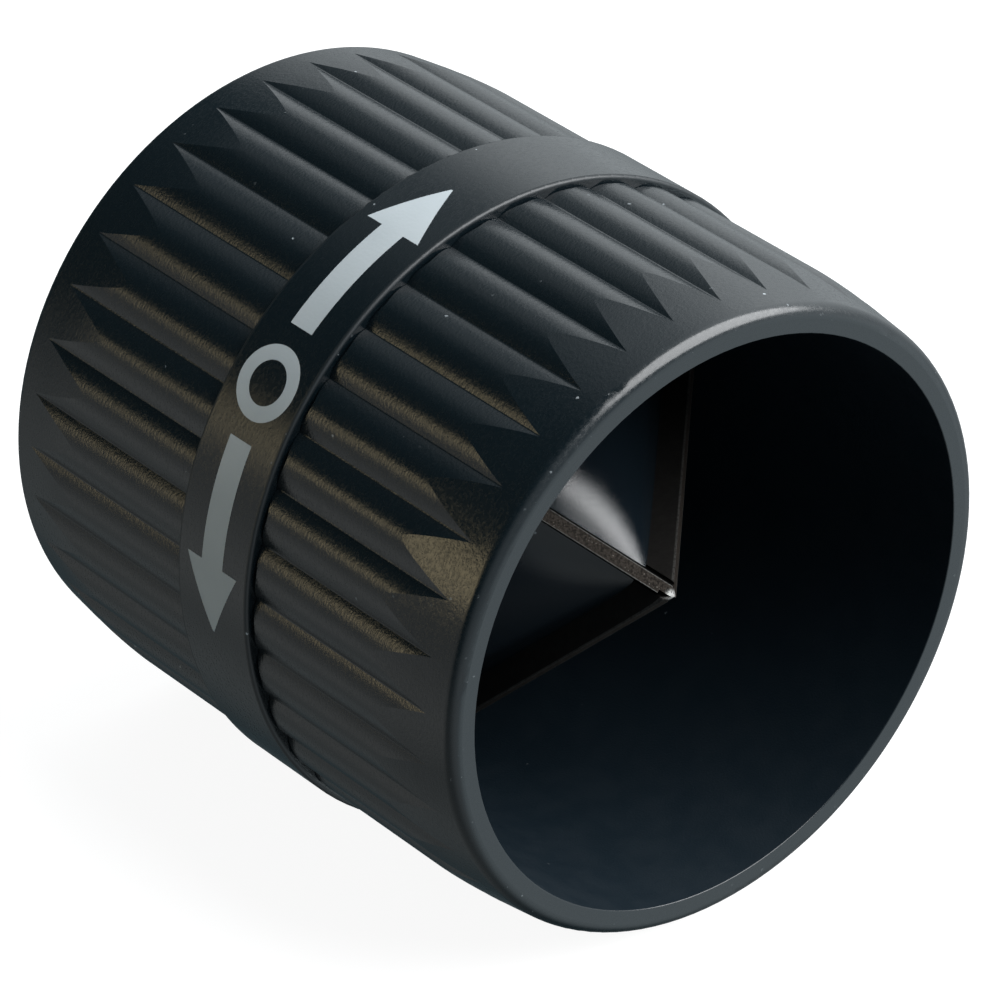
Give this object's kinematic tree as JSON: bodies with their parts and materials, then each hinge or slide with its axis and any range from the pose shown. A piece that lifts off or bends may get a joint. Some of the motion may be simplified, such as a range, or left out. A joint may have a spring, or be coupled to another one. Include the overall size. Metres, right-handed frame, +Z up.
{
  "type": "pipe deburring tool",
  "caption": "Ribbed cylindrical hand tool with crossed straight blades between two open mouths, for deburring pipe ends inside and outside.",
  "frame": {"origin": "on the surface the tool lies on, under the middle of the tool", "axes": "+X along the tool's axis, out of the inside-deburring mouth; +Z up"},
  "size_m": [0.069, 0.0688, 0.0688],
  "materials": {
    "shell": "satin, fine leather-like moulded grain",
    "core": "smooth moulded",
    "blade": "hardened, dark, with ground edges",
    "hardware": "zinc plated",
    "print": "pad-printed pale grey ink"
  },
  "bodies": {
    "root": {"front_shell": "shell", "rear_shell": "shell", "front_cone": "core", "rear_funnel": "core", "blade_1": "blade", "blade_2": "blade", "blade_3": "blade", "blade_pins": "hardware", "core_screws": "hardware"}
  },
  "joints": []
}
